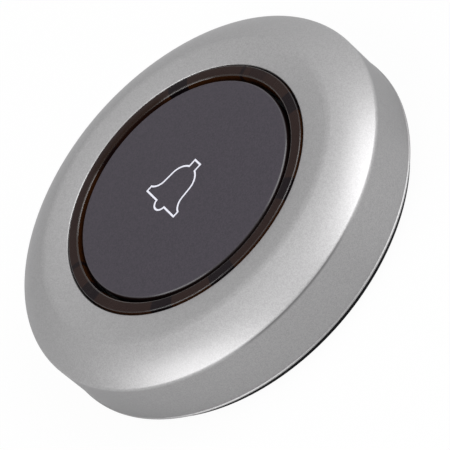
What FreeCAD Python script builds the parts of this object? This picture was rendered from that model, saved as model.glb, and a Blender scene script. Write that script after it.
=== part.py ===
"""Waiter call button: a round table-top transmitter with a lit ring around its push button.

Millimetres, +Z up.  The origin is on the table, at the centre of the four rubber feet.
Angles are counter-clockwise from +X, and the bell symbol's top points along +Y.
Each sub-part is one function that returns its solid, and save() writes it as parts/NODE.step.
"""
import FreeCAD
import Part

import math
import os

# ---------------------------------------------------------------- plan of the top, from the button outwards
button_radius = 20.1
button_gap = 0.8               # dark gap between the button and the ring of light
ring_width = 2.05
ring_gap = 0.2                 # ring to housing opening
band_width = 4.75              # dished band, from the opening to the ridge
shoulder_width = 6.8           # sloping shoulder, from the ridge to the crease
side_draft = 0.3               # how far the crease stands inside the housing's lower edge

# ---------------------------------------------------------------- profile of the housing
crease_drop = 2.95             # sharp edge between side wall and shoulder, below the opening's rim
ridge_rise = 0.45              # soft ridge around the dished band, above the rim
ridge_rounding = 4.0
shoulder_bulge = 0.45          # how far the shoulder bows out of a straight cone
opening_rounding = 0.3
edge_break = 0.15
side_wall = 2.2
roof = 1.8                     # thickness of the housing's top, measured along Z
straight_bore = 0.5            # bore kept straight above the base's rim

# ---------------------------------------------------------------- base and feet
foot_stand = 0.5               # how far the rubber feet hold the base off the table
foot_radius = 4.0
foot_recess = 0.5
foot_inset = 11.0              # centre of a foot inside the housing's lower edge
foot_angles = (45, 135, 225, 315)
base_inset = 1.1               # the black base stands this far inside the housing's edge
base_flange = 1.5              # black edge that shows below the housing
base_ledge = 0.6               # floor left above the battery cap's edge
base_rim_height = 1.5          # upstand inside the housing, above the floor
base_rim_wall = 1.3
rim_clearance = 0.15           # base rim to housing bore

# ---------------------------------------------------------------- fasteners
screw_angles = (90, 210, 330)
screw_shank_radius = 1.0
screw_head_radius = 1.9
screw_head_height = 0.8
screw_head_sink = 0.2          # head below the underside of the base
screw_length = 6.5
pilot_spare = 0.3              # pilot hole beyond the screw's tip
screw_recess_arm = 2.4
screw_recess_width = 0.5
screw_hole_clearance = 0.15
thread_clearance = 0.02
boss_radius = 2.6
boss_gap = 0.35                # boss to the base's rim

# ---------------------------------------------------------------- ring of light
ring_rise = 0.1                # top of the ring above the housing's rim
ring_chamfer = 0.25
ring_flange_width = 1.45       # flange outside the housing's opening
ring_flange_height = 1.0
shelf_depth = 2.0              # housing's seat for the flange, below its rim
collar_clearance = 0.1
collar_wall = 1.4
collar_overlap = 0.1           # collar below the ring's flange

# ---------------------------------------------------------------- push button
button_rise = 0.1              # top of the button above the housing's rim
button_thickness = 1.6
button_rounding = 0.4
button_travel = 0.5
stop_gap = 0.05                # between the skirt and the frame when fully pressed
skirt_wall = 1.5
leg_angles = (60, 180, 300)
leg_width = 5.0
leg_thickness = 1.2
leg_inset = 1.3                # outer face of a leg inside the button's edge
leg_clearance = 0.15
hook_reach = 0.7
hook_height = 0.8
hook_clearance = 0.05
hook_floor_gap = 0.15          # hook to circuit board when fully pressed
post_radius = 2.2
post_height = 0.65

# ---------------------------------------------------------------- bell symbol, around its own centre
symbol_line = 0.32
symbol_depth = 0.15
symbol_proud = 0.02
symbol_x = -1.2
symbol_y = -0.4
handle_half_width = 0.9
handle_top = 4.95
handle_base = 3.6
shoulder_mid_x = 2.2
shoulder_mid_y = 2.75
waist_top_x = 2.97
waist_top_y = 0.8
waist_base_x = 3.1
waist_base_y = -0.7
flare_mid_x = 3.5
flare_mid_y = -1.95
lip_half_width = 4.75
lip_top = -2.9
lip_base = -3.9
clapper_half_width = 1.3
clapper_drop = 1.15

# ---------------------------------------------------------------- inner frame
frame_wall_inset = 0.2         # frame's bore inside the ring's bore
frame_floor_inner_radius = 12.5
frame_floor = 0.8
window_offsets = (28.7, 72.7, -13.8)   # one third of the ring of windows
window_thirds = 3
window_width = 4.4
window_inset = 0.4             # window's inner edge outside the ring's bore
window_outset = 0.1            # window's outer edge outside the housing's opening
pin_radius = 0.7
pin_edge = 0.1                 # pin inside the frame's edge
pin_angles = (0, 120, 240)
pin_clearance = 0.1
pin_stub = 0.5                 # pin below the board

# ---------------------------------------------------------------- circuit board
board_thickness = 1.0
board_overhang = 0.6           # board outside the frame
support_radius = 1.2
support_inset = 2.4            # centre of a support inside the board's edge
support_angles = (30, 90, 150, 210, 270, 330)

# ---------------------------------------------------------------- switch
switch_size = 6.0
switch_height = 3.2
switch_cover = 0.3
switch_corner = 0.5
plunger_radius = 1.75
plunger_root = 1.4             # plunger inside the switch's body at rest
plunger_clearance = 0.1
plunger_spare = 0.1            # plunger above the cover when fully pressed
plunger_gap = 0.05             # plunger to the button's post at rest
terminal_width = 0.7
terminal_thickness = 0.2
terminal_length = 1.0
terminal_spacing = 4.5
terminal_rise = 0.8
terminal_bend = 0.4

# ---------------------------------------------------------------- return spring
spring_radius = 6.0            # centre line of the wire
spring_wire_radius = 0.25
spring_half_turns = 6
spring_gap = 0.03
spring_rib_wall = 0.6
spring_rib_height = 0.5
spring_rib_clearance = 0.2

# ---------------------------------------------------------------- small electronic parts
emitter_length = 2.8
emitter_width = 1.1
emitter_height = 0.8
resistor_length = 1.6
resistor_width = 0.8
resistor_height = 0.45
resistor_inset = 1.7           # inside the frame's bore
capacitor_length = 2.0
capacitor_width = 1.25
capacitor_height = 0.8
capacitor_circle = 10.0
capacitor_angles = (50, 75, 185, 290, 315)
controller_length = 5.0
controller_width = 4.4
controller_height = 1.0
controller_circle = 9.6
controller_angle = 0
radio_side = 4.0
radio_height = 0.9
radio_circle = 9.8
radio_angle = 115
crystal_length = 3.2
crystal_width = 2.5
crystal_height = 0.8
crystal_circle = 9.8
crystal_angle = 152
lead_length = 0.5              # beyond the chip's side
lead_width = 0.25
lead_thickness = 0.2
leads_per_side = 5
lead_pitch = 0.8
aerial_radius = 1.5            # centre line of the aerial's coil
aerial_wire_radius = 0.25
aerial_half_turns = 16
aerial_length = 14.0
aerial_inset = 8.25            # coil's axis inside the board's edge
aerial_gap = 0.02

# ---------------------------------------------------------------- coin cell and its contacts
cell_radius = 10.0
cell_height = 3.2
cell_step = 0.4                # height of the cell's smaller negative face
cell_cap_radius = 8.8
cell_rounding = 0.3
cell_gap = 0.05
well_clearance = 0.25
well_board_gap = 0.3
contact_room = 0.85            # between the cell and the board
contact_thickness = 0.2
contact_width = 4.0
contact_touch = 0.05
contact_half_span = 7.0
contact_pad = 2.0
contact_crown = 1.5
side_contact_angle = 90
side_contact_reach = 3.0
side_contact_overlap = 2.55    # how far the strip reaches down beside the cell
side_contact_slot = 0.4        # room around the strip in the wall of the well

# ---------------------------------------------------------------- battery cap and its seal
cap_thickness = 1.2
cap_clearance = 0.15
cap_lip = 1.1                  # cap's edge outside the throat
throat_step = 0.85             # throat outside the battery well
throat_wall = 1.05
seal_section_radius = 0.45
seal_clearance = 0.05
seal_seat = 0.02
seal_room = 0.18               # above the seal
spigot_height = 1.0
notch_radius = 2.6
notch_depth = 0.6
notch_angle = 270

# ---------------------------------------------------------------- seal between base and housing
base_seal_radius = 0.4
base_seal_clearance = 0.05
base_seal_lift = 0.8           # centre of the seal above the housing's lower edge
base_groove_clearance = 0.08

# ---------------------------------------------------------------- radii worked out from the above
ring_inner_radius = button_radius + button_gap
ring_outer_radius = ring_inner_radius + ring_width
opening_radius = ring_outer_radius + ring_gap
ring_flange_radius = opening_radius + ring_flange_width
ridge_radius = opening_radius + band_width
crease_radius = ridge_radius + shoulder_width
body_radius = crease_radius + side_draft
housing_bore = body_radius - side_wall
collar_bore = ring_flange_radius + collar_clearance
rim_radius = housing_bore - rim_clearance
screw_circle = rim_radius - base_rim_wall - boss_gap - boss_radius
foot_circle = body_radius - foot_inset
frame_inner_radius = ring_inner_radius - frame_wall_inset
frame_radius = ring_flange_radius
window_inner = ring_inner_radius + window_inset
window_outer = opening_radius + window_outset
board_radius = frame_radius + board_overhang
pin_circle = frame_radius - pin_edge - pin_radius
support_circle = board_radius - support_inset
resistor_circle = frame_inner_radius - resistor_inset
leg_outer = button_radius - leg_inset
leg_inner = leg_outer - leg_thickness
well_radius = cell_radius + well_clearance
throat_radius = well_radius + throat_step
well_outer = throat_radius + throat_wall
cap_radius = throat_radius + cap_lip
seal_circle = throat_radius - seal_clearance - seal_section_radius
spigot_radius = seal_circle - seal_section_radius - seal_seat
aerial_offset = board_radius - aerial_inset

# ---------------------------------------------------------------- heights worked out from the above
base_z = foot_stand
housing_z = base_z + base_flange
cap_top = base_z + cap_thickness
floor_z = cap_top + base_ledge
throat_top = cap_top + seal_seat + 2 * seal_section_radius + seal_room
head_seat_z = base_z + screw_head_sink + screw_head_height
screw_tip = head_seat_z + screw_length
cell_z = cap_top + spigot_height + cell_gap
cell_top = cell_z + cell_height
board_z = cell_top + contact_room
board_top = board_z + board_thickness
well_top = board_z - well_board_gap
frame_floor_z = board_top + hook_floor_gap + button_travel + hook_height + hook_clearance
frame_floor_top = frame_floor_z + frame_floor
skirt_z = frame_floor_top + button_travel + stop_gap
hook_top = frame_floor_z - hook_clearance
hook_z = hook_top - hook_height
cover_z = board_top + switch_height
cover_top = cover_z + switch_cover
plunger_z = cover_z - plunger_root
plunger_top = cover_top + button_travel + plunger_spare
post_z = plunger_top + plunger_gap
button_under = post_z + post_height
button_top = button_under + button_thickness
rim_z = button_top - button_rise
ridge_z = rim_z + ridge_rise
crease_z = rim_z - crease_drop
ring_top = rim_z + ring_rise
shelf_z = rim_z - shelf_depth
ring_base = shelf_z - ring_flange_height
collar_z = ring_base - collar_overlap
UP = FreeCAD.Vector(0, 0, 1)


# ---------------------------------------------------------------- helpers
def point(x, y, z=0.0):
    return FreeCAD.Vector(x, y, z)


def cylinder(radius, low, high, centre=None):
    centre = centre or point(0, 0)
    return Part.makeCylinder(radius, high - low, point(centre.x, centre.y, low), UP)


def tube(inner, outer, low, high, centre=None):
    return cylinder(outer, low, high, centre).cut(cylinder(inner, low, high, centre))


def block(size_x, size_y, low, high):
    """A box centred on the Z axis."""
    return Part.makeBox(size_x, size_y, high - low, point(-size_x / 2, -size_y / 2, low))


def place(shape, radius, angle):
    """Move a shape modelled around the Z axis out to a radius, and turn it to an angle."""
    moved = shape.copy()
    moved.translate(point(radius, 0))
    moved.rotate(point(0, 0), UP, angle)
    return moved


def repeat(shape, radius, angles):
    return [place(shape, radius, angle) for angle in angles]


def sector(inner, outer, low, high, width, angle):
    """The part of a tube that a radial slot of the given width cuts out of it."""
    slot = Part.makeBox(outer * 2, width, high - low, point(0, -width / 2, low))
    piece = tube(inner, outer, low, high).common(slot)
    piece.rotate(point(0, 0), UP, angle)
    return piece


def polyline(points):
    return [Part.makeLine(a, b) for a, b in zip(points, points[1:])]


def arc(start, middle, end):
    return Part.Arc(start, middle, end).toShape()


def revolve(edges):
    face = Part.Face(Part.Wire(edges))
    return face.revolve(point(0, 0), UP, 360)


def revolve_polygon(pairs):
    """Revolve a closed outline given as (radius, height) pairs."""
    points = [point(radius, 0, height) for radius, height in pairs]
    return revolve(polyline(points + points[:1]))


def circle_edges(shape, radius, height, slack=0.01):
    """The full circular edges of a shape at one radius and height, about the Z axis."""
    found = []
    for edge in shape.Edges:
        curve = edge.Curve
        if not isinstance(curve, Part.Circle):
            continue
        on_axis = math.hypot(curve.Center.x, curve.Center.y) < slack
        level = abs(curve.Center.z - height) < slack
        if on_axis and level and abs(curve.Radius - radius) < slack:
            found.append(edge)
    return found


def upright_edges(shape, height, slack=1e-6):
    """The edges of a box whose length is the box's height."""
    return [edge for edge in shape.Edges if abs(edge.Length - height) < slack]


def fuse(first, others):
    return first.multiFuse(others).removeSplitter() if others else first


def cut_all(shape, tools):
    return shape.cut(Part.makeCompound(tools)) if tools else shape


def save(name, shape):
    shape.exportStep("parts/" + name + ".step")


# ---------------------------------------------------------------- outer shells
def shoulder_middle():
    """The point of the shoulder's arc that bows out furthest."""
    run = crease_radius - ridge_radius
    rise = ridge_z - crease_z
    chord = math.hypot(run, rise)
    middle_r = (crease_radius + ridge_radius) / 2 + shoulder_bulge * rise / chord
    middle_z = (crease_z + ridge_z) / 2 + shoulder_bulge * run / chord
    return point(middle_r, 0, middle_z)


def housing_envelope():
    """The silver housing with no hollow: side wall, shoulder, ridge and dished band."""
    lower = point(body_radius, 0, housing_z)
    crease = point(crease_radius, 0, crease_z)
    ridge = point(ridge_radius, 0, ridge_z)
    edges = polyline([point(0, 0, housing_z), lower, crease])
    edges.append(arc(crease, shoulder_middle(), ridge))
    edges += polyline([ridge, point(opening_radius, 0, rim_z), point(0, 0, rim_z), point(0, 0, housing_z)])
    envelope = revolve(edges)
    envelope = envelope.makeFillet(ridge_rounding, circle_edges(envelope, ridge_radius, ridge_z))
    envelope = envelope.makeFillet(edge_break, circle_edges(envelope, crease_radius, crease_z))
    return envelope.makeChamfer(edge_break, circle_edges(envelope, body_radius, housing_z))


def housing_hollow():
    """The room inside the housing, below its roof and around the collar."""
    roof_z = rim_z - roof
    return revolve_polygon([
        (0, housing_z),
        (housing_bore, housing_z),
        (housing_bore, floor_z + base_rim_height + straight_bore),
        (crease_radius - side_wall, crease_z - roof),
        (ridge_radius, roof_z),
        (0, roof_z),
    ])


def top_housing():
    envelope = housing_envelope()
    collar = cylinder(collar_bore + collar_wall, collar_z, rim_z)
    boss = cylinder(boss_radius, floor_z, ridge_z)
    bosses = [whole.common(envelope) for whole in repeat(boss, screw_circle, screw_angles)]
    shell = fuse(envelope.cut(housing_hollow().cut(collar)), bosses)
    pilot = cylinder(screw_shank_radius + thread_clearance, housing_z, screw_tip + pilot_spare)
    holes = repeat(pilot, screw_circle, screw_angles)
    holes.append(cylinder(opening_radius, housing_z, ridge_z))
    holes.append(cylinder(collar_bore, housing_z, shelf_z))
    shell = cut_all(shell, holes)
    return shell.makeFillet(opening_rounding, circle_edges(shell, opening_radius, rim_z))


def base_cover():
    flange = cylinder(body_radius - base_inset, base_z, housing_z)
    plate = cylinder(rim_radius, base_z, floor_z)
    rim = tube(rim_radius - base_rim_wall, rim_radius, floor_z, floor_z + base_rim_height)
    well = cylinder(well_outer, floor_z, well_top)
    supports = repeat(cylinder(support_radius, floor_z, board_z), support_circle, support_angles)
    base = fuse(flange, [plate, rim, well] + supports)
    head_room = cylinder(screw_head_radius + screw_hole_clearance, base_z, head_seat_z)
    shank_room = cylinder(screw_shank_radius + screw_hole_clearance, base_z, floor_z)
    tools = [
        cylinder(well_radius, base_z, well_top),
        cylinder(throat_radius, base_z, throat_top),
        cylinder(cap_radius + cap_clearance, base_z, cap_top),
        pry_notch(),
        side_contact_room(),
        base_groove(),
    ]
    tools += repeat(head_room, screw_circle, screw_angles)
    tools += repeat(shank_room, screw_circle, screw_angles)
    tools += repeat(cylinder(foot_radius, base_z, base_z + foot_recess), foot_circle, foot_angles)
    base = cut_all(base, tools)
    return base.makeChamfer(edge_break, circle_edges(base, body_radius - base_inset, base_z))


def base_groove():
    half = base_seal_radius + base_groove_clearance
    middle = housing_z + base_seal_lift
    inner = housing_bore - base_seal_clearance - 2 * base_seal_radius - base_groove_clearance
    return tube(inner, body_radius, middle - half, middle + half)


def base_seal():
    middle = housing_z + base_seal_lift
    centre_radius = housing_bore - base_seal_clearance - base_seal_radius
    return Part.makeTorus(centre_radius, base_seal_radius, point(0, 0, middle))


def pry_notch():
    return place(cylinder(notch_radius, base_z, base_z + notch_depth), cap_radius, notch_angle)


def side_contact_room():
    width = contact_width + 2 * side_contact_slot
    low = cell_top - side_contact_overlap - side_contact_slot
    return sector(0, well_outer, low, well_top, width, side_contact_angle)


def rubber_feet():
    foot = cylinder(foot_radius, 0, base_z + foot_recess)
    foot = foot.makeFillet(edge_break, circle_edges(foot, foot_radius, 0))
    return Part.makeCompound(repeat(foot, foot_circle, foot_angles))


def housing_screws():
    low = base_z + screw_head_sink
    head = cylinder(screw_head_radius, low, head_seat_z)
    screw = fuse(head, [cylinder(screw_shank_radius, low, screw_tip)])
    arm = block(screw_recess_arm, screw_recess_width, low, low + screw_head_height / 2)
    cross = arm.copy()
    cross.rotate(point(0, 0), UP, 90)
    screw = cut_all(screw, [arm, cross])
    return Part.makeCompound(repeat(screw, screw_circle, screw_angles))


# ---------------------------------------------------------------- ring of light and its frame
def light_ring():
    wall = tube(ring_inner_radius, ring_outer_radius, ring_base, ring_top)
    ring = fuse(wall, [tube(ring_inner_radius, ring_flange_radius, ring_base, shelf_z)])
    edges = circle_edges(ring, ring_outer_radius, ring_top)
    edges += circle_edges(ring, ring_inner_radius, ring_top)
    return ring.makeChamfer(ring_chamfer, edges)


def window_angles():
    third = 360.0 / window_thirds
    return [offset + third * step for step in range(window_thirds) for offset in window_offsets]


def inner_frame():
    wall = tube(frame_inner_radius, frame_radius, board_top, ring_base)
    floor = tube(frame_floor_inner_radius, frame_inner_radius, frame_floor_z, frame_floor_top)
    pins = repeat(cylinder(pin_radius, board_z - pin_stub, board_top), pin_circle, pin_angles)
    frame = fuse(wall, [floor] + pins)
    tools = [sector(window_inner, window_outer, board_top, ring_base, window_width, angle)
             for angle in window_angles()]
    slot_outer = leg_outer + leg_clearance
    slot_inner = leg_inner - leg_clearance
    slot_width = leg_width + 2 * leg_clearance
    tools += [sector(slot_inner, slot_outer, frame_floor_z, frame_floor_top, slot_width, angle)
              for angle in leg_angles]
    return cut_all(frame, tools)


# ---------------------------------------------------------------- push button
def button_disc():
    plate = cylinder(button_radius, button_under, button_top)
    skirt = tube(button_radius - skirt_wall, button_radius, skirt_z, button_under)
    post = cylinder(post_radius, post_z, button_under)
    rib_outer = spring_radius - spring_wire_radius - spring_rib_clearance
    rib = tube(rib_outer - spring_rib_wall, rib_outer, button_under - spring_rib_height, button_under)
    legs = [sector(leg_inner, leg_outer, hook_z, button_under, leg_width, angle) for angle in leg_angles]
    hooks = [sector(leg_inner - hook_reach, leg_inner, hook_z, hook_top, leg_width, angle)
             for angle in leg_angles]
    disc = fuse(plate, [skirt, post, rib] + legs + hooks)
    disc = disc.makeFillet(button_rounding, circle_edges(disc, button_radius, button_top))
    return disc.cut(symbol_solid(button_top - symbol_depth, button_top + symbol_proud))


def symbol_outline():
    """The bell's closed centre line, in the XY plane, around the symbol's own centre."""
    def right(pair):
        return point(pair[0], pair[1])

    def left(pair):
        return point(-pair[0], pair[1])

    handle_root = (handle_half_width, handle_base)
    handle_tip = (handle_half_width, handle_top)
    shoulder_mid = (shoulder_mid_x, shoulder_mid_y)
    waist_top = (waist_top_x, waist_top_y)
    waist_base = (waist_base_x, waist_base_y)
    flare_mid = (flare_mid_x, flare_mid_y)
    lip_upper = (lip_half_width, lip_top)
    lip_lower = (lip_half_width, lip_base)
    clapper = (clapper_half_width, lip_base)
    return Part.Wire([
        Part.makeLine(right(handle_tip), right(handle_root)),
        arc(right(handle_root), right(shoulder_mid), right(waist_top)),
        Part.makeLine(right(waist_top), right(waist_base)),
        arc(right(waist_base), right(flare_mid), right(lip_upper)),
        Part.makeLine(right(lip_upper), right(lip_lower)),
        Part.makeLine(right(lip_lower), right(clapper)),
        arc(right(clapper), point(0, lip_base - clapper_drop), left(clapper)),
        Part.makeLine(left(clapper), left(lip_lower)),
        Part.makeLine(left(lip_lower), left(lip_upper)),
        arc(left(lip_upper), left(flare_mid), left(waist_base)),
        Part.makeLine(left(waist_base), left(waist_top)),
        arc(left(waist_top), left(shoulder_mid), left(handle_root)),
        Part.makeLine(left(handle_root), left(handle_tip)),
        Part.makeLine(left(handle_tip), right(handle_tip)),
    ])


def symbol_solid(low, high):
    outline = symbol_outline()
    outer = Part.Face(outline.makeOffset2D(symbol_line / 2, join=2))
    inner = Part.Face(outline.makeOffset2D(-symbol_line / 2, join=2))
    solid = outer.cut(inner).extrude(point(0, 0, high - low))
    solid.translate(point(symbol_x, symbol_y, low))
    return solid.Solids[0]


def bell_symbol():
    return symbol_solid(button_top - symbol_depth, button_top + symbol_proud)


def coil(radius, wire_radius, half_turns, length):
    """A coil around the Z axis, with its wire's centre line from z = 0 to z = length.

    Each half turn is a tilted half torus, and meets the next one square on.
    """
    rise = length / half_turns
    halves = []
    for step in range(half_turns):
        side = 1 if step % 2 == 0 else -1
        start = point(side * radius, 0, step * rise)
        middle = point(0, 0, (step + 0.5) * rise)
        axis = (start - middle).cross(point(0, side, 0))
        section = Part.Face(Part.Wire(Part.makeCircle(wire_radius, start, point(0, 1, 0))))
        halves.append(section.revolve(middle, axis, 180))
    return fuse(halves[0], halves[1:])


def return_spring():
    end_room = spring_wire_radius + spring_gap
    height = button_under - board_top - 2 * end_room
    spring = coil(spring_radius, spring_wire_radius, spring_half_turns, height)
    spring.translate(point(0, 0, board_top + end_room))
    return spring


# ---------------------------------------------------------------- circuit board and its parts
def circuit_board():
    board = cylinder(board_radius, board_z, board_top)
    hole = cylinder(pin_radius + pin_clearance, board_z, board_top)
    return cut_all(board, repeat(hole, pin_circle, pin_angles))


def switch_body():
    body = block(switch_size, switch_size, board_top, cover_z)
    body = body.makeChamfer(switch_corner, upright_edges(body, switch_height))
    bore_bottom = plunger_z - button_travel - plunger_gap
    return body.cut(cylinder(plunger_radius + plunger_clearance, bore_bottom, cover_z))


def switch_cover_plate():
    plate = block(switch_size - switch_corner, switch_size - switch_corner, cover_z, cover_top)
    return plate.cut(cylinder(plunger_radius + plunger_clearance, cover_z, cover_top))


def switch_plunger():
    plunger = cylinder(plunger_radius, plunger_z, plunger_top)
    return plunger.makeFillet(edge_break, circle_edges(plunger, plunger_radius, plunger_top))


def switch_terminals():
    """Four bent legs: out of the switch's side, down its height and along the board."""
    inner = switch_size / 2
    outer = inner + terminal_bend
    top = board_top + terminal_rise
    pairs = [
        (inner, top),
        (outer, top),
        (outer, board_top + terminal_thickness),
        (outer + terminal_length, board_top + terminal_thickness),
        (outer + terminal_length, board_top),
        (outer - terminal_thickness, board_top),
        (outer - terminal_thickness, top - terminal_thickness),
        (inner, top - terminal_thickness),
    ]
    points = [point(x, -terminal_width / 2, z) for x, z in pairs]
    leg = Part.Face(Part.Wire(polyline(points + points[:1]))).extrude(point(0, terminal_width, 0))
    legs = []
    for side in (0, 180):
        for offset in (-terminal_spacing / 2, terminal_spacing / 2):
            moved = leg.copy()
            moved.translate(point(0, offset))
            moved.rotate(point(0, 0), UP, side)
            legs.append(moved)
    return Part.makeCompound(legs)


def light_emitters():
    emitter = block(emitter_width, emitter_length, board_top, board_top + emitter_height)
    return Part.makeCompound(repeat(emitter, (window_inner + window_outer) / 2, window_angles()))


def emitter_resistors():
    resistor = block(resistor_width, resistor_length, board_top, board_top + resistor_height)
    return Part.makeCompound(repeat(resistor, resistor_circle, window_angles()))


def capacitors():
    capacitor = block(capacitor_length, capacitor_width, board_top, board_top + capacitor_height)
    return Part.makeCompound(repeat(capacitor, capacitor_circle, capacitor_angles))


def chip(length, width, height):
    """A moulded chip with a row of short leads along two sides, around the Z axis."""
    body = block(width, length, board_top + lead_thickness / 2, board_top + height)
    upper = [edge for edge in body.Edges if edge.BoundBox.ZMin > board_top + height / 2]
    body = body.makeChamfer(edge_break, upper)
    leads = []
    for side in (-1, 1):
        for step in range(leads_per_side):
            along = (step - (leads_per_side - 1) / 2) * lead_pitch
            lead = block(lead_length * 2, lead_width, board_top, board_top + lead_thickness)
            lead.translate(point(side * width / 2, along))
            leads.append(lead)
    return fuse(body, leads)


def microcontroller():
    return place(chip(controller_length, controller_width, controller_height), controller_circle, controller_angle)


def radio_chip():
    return place(chip(radio_side, radio_side, radio_height), radio_circle, radio_angle)


def crystal():
    can = block(crystal_width, crystal_length, board_top, board_top + crystal_height)
    can = can.makeFillet(edge_break, upright_edges(can, crystal_height))
    return place(can, crystal_circle, crystal_angle)


def aerial_coil():
    spring = coil(aerial_radius, aerial_wire_radius, aerial_half_turns, aerial_length)
    spring.translate(point(0, 0, -aerial_length / 2))
    spring.rotate(point(0, 0), point(0, 1, 0), 90)
    height = board_z - aerial_gap - aerial_radius - aerial_wire_radius
    spring.translate(point(0, -aerial_offset, height))
    return spring


# ---------------------------------------------------------------- battery
def coin_cell():
    can = cylinder(cell_radius, cell_z, cell_top - cell_step)
    can = can.makeFillet(cell_rounding, circle_edges(can, cell_radius, cell_z))
    return fuse(can, [cylinder(cell_cap_radius, cell_top - cell_step, cell_top)])


def negative_contact():
    """An arched leaf under the board that bears on the cell's upper face."""
    low = cell_top + contact_touch
    pad = contact_half_span - contact_pad
    upper = [
        (-contact_half_span, board_z), (-pad, board_z), (-contact_crown, low + contact_thickness),
        (contact_crown, low + contact_thickness), (pad, board_z), (contact_half_span, board_z),
    ]
    lower = [
        (contact_half_span, board_z - contact_thickness), (pad, board_z - contact_thickness),
        (contact_crown, low), (-contact_crown, low), (-pad, board_z - contact_thickness),
        (-contact_half_span, board_z - contact_thickness),
    ]
    points = [point(x, -contact_width / 2, z) for x, z in upper + lower]
    leaf = Part.Face(Part.Wire(polyline(points + points[:1]))).extrude(point(0, contact_width, 0))
    return leaf


def positive_contact():
    """An angled strip from the board down the side of the cell, through a slot in its well."""
    inner = cell_radius + contact_touch
    low = cell_top - side_contact_overlap
    pairs = [
        (inner, board_z), (inner, low), (inner + contact_thickness, low),
        (inner + contact_thickness, board_z - contact_thickness),
        (inner + side_contact_reach, board_z - contact_thickness),
        (inner + side_contact_reach, board_z),
    ]
    points = [point(x, -contact_width / 2, z) for x, z in pairs]
    strip = Part.Face(Part.Wire(polyline(points + points[:1]))).extrude(point(0, contact_width, 0))
    return place(strip, 0, side_contact_angle)


def battery_cap():
    flange = cylinder(cap_radius, base_z, cap_top)
    cap = fuse(flange, [cylinder(spigot_radius, cap_top, cap_top + spigot_height)])
    return cap.cut(pry_notch())


def cap_seal():
    middle = cap_top + seal_section_radius + seal_seat
    return Part.makeTorus(seal_circle, seal_section_radius, point(0, 0, middle))


PIECES = (
    top_housing, light_ring, inner_frame, button_disc, bell_symbol, return_spring,
    circuit_board, switch_body, switch_cover_plate, switch_plunger, switch_terminals,
    light_emitters, emitter_resistors, microcontroller, radio_chip, crystal, capacitors,
    aerial_coil, coin_cell, negative_contact, positive_contact, battery_cap, cap_seal,
    base_cover, base_seal, housing_screws, rubber_feet,
)

os.makedirs("parts", exist_ok=True)
for piece in PIECES:
    save(piece.__name__, piece())
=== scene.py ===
"""Looks of a waiter call button: finishes for its solids, and the finer pieces modelled around them.

Metres, +Z up.  The bell symbol's top points along +Y.  Laid out as an add-on and run as a script.
"""

import math

import bpy
from bpy.props import FloatProperty, FloatVectorProperty, PointerProperty
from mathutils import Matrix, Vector


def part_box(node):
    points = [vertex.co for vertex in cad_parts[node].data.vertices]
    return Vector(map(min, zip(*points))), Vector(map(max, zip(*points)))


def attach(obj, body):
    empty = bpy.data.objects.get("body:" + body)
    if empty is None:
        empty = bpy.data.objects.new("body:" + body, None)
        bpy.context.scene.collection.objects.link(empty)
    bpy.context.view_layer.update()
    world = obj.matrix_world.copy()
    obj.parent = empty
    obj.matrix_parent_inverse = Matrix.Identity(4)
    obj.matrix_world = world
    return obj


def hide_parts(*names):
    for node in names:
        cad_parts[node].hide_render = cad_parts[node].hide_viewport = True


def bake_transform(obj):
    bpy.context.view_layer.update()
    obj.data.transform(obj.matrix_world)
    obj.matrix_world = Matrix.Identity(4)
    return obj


bl_info = {
    "name": "Waiter Call Button",
    "version": (1, 0, 0),
    "blender": (4, 5, 0),
    "location": "3D View > Sidebar > Call Button",
    "description": "Models and finishes a round table call button with a lit ring",
    "category": "Add Mesh",
}

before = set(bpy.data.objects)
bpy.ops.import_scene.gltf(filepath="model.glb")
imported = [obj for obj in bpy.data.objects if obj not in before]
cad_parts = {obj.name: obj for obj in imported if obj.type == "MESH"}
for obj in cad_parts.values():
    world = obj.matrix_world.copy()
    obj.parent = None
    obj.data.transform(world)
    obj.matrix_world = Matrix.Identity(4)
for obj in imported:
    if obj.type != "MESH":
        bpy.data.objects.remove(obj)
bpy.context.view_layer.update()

MM = 0.001
ROUND_STEPS = 192              # sides of the large round pieces
SMALL_ROUND_STEPS = 48         # sides of feet, bosses and holes
SMOOTH_ANGLE = math.radians(28)
WHITE = (1.0, 1.0, 1.0)
FRONT, BACK = (1, 0, 0), (-1, 0, 0)    # directions from the centre


# ---------------------------------------------------------------- sizes, most of them read from the frame
def top_of(node):
    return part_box(node)[1].z


def bottom_of(node):
    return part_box(node)[0].z


def reach_of(node):
    """Half the width of a round node along X."""
    low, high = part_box(node)
    return (high.x - low.x) / 2


BODY_RADIUS = reach_of("top_housing")
HOUSING_EDGE = bottom_of("top_housing")            # lower edge of the silver wall
RIM = (23.15 * MM, top_of("light_ring") - 0.1 * MM)    # radius and height of the opening's edge
RIDGE = (27.9 * MM, RIM[1] + 0.45 * MM)            # highest line, between the dished band and the shoulder
CREASE = (34.74 * MM, RIM[1] - 3.07 * MM)          # line between the shoulder and the side wall
SIDE_WALL = 2.2 * MM
ROOF = 1.8 * MM

BASE_UNDERSIDE = bottom_of("base_cover")
FLOOR_TOP = 2.3 * MM                               # inner floor of the base
SCREW_ANGLES = (90, 210, 330)
SCREW_CIRCLE = 28.4 * MM
BOSS_RADIUS = 2.6 * MM
SCREW_CORE = 1.02 * MM                             # radius of the hole that a screw cuts its thread in
FOOT_ANGLES = (45, 135, 225, 315)
FOOT_CIRCLE = 24.0 * MM

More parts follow.
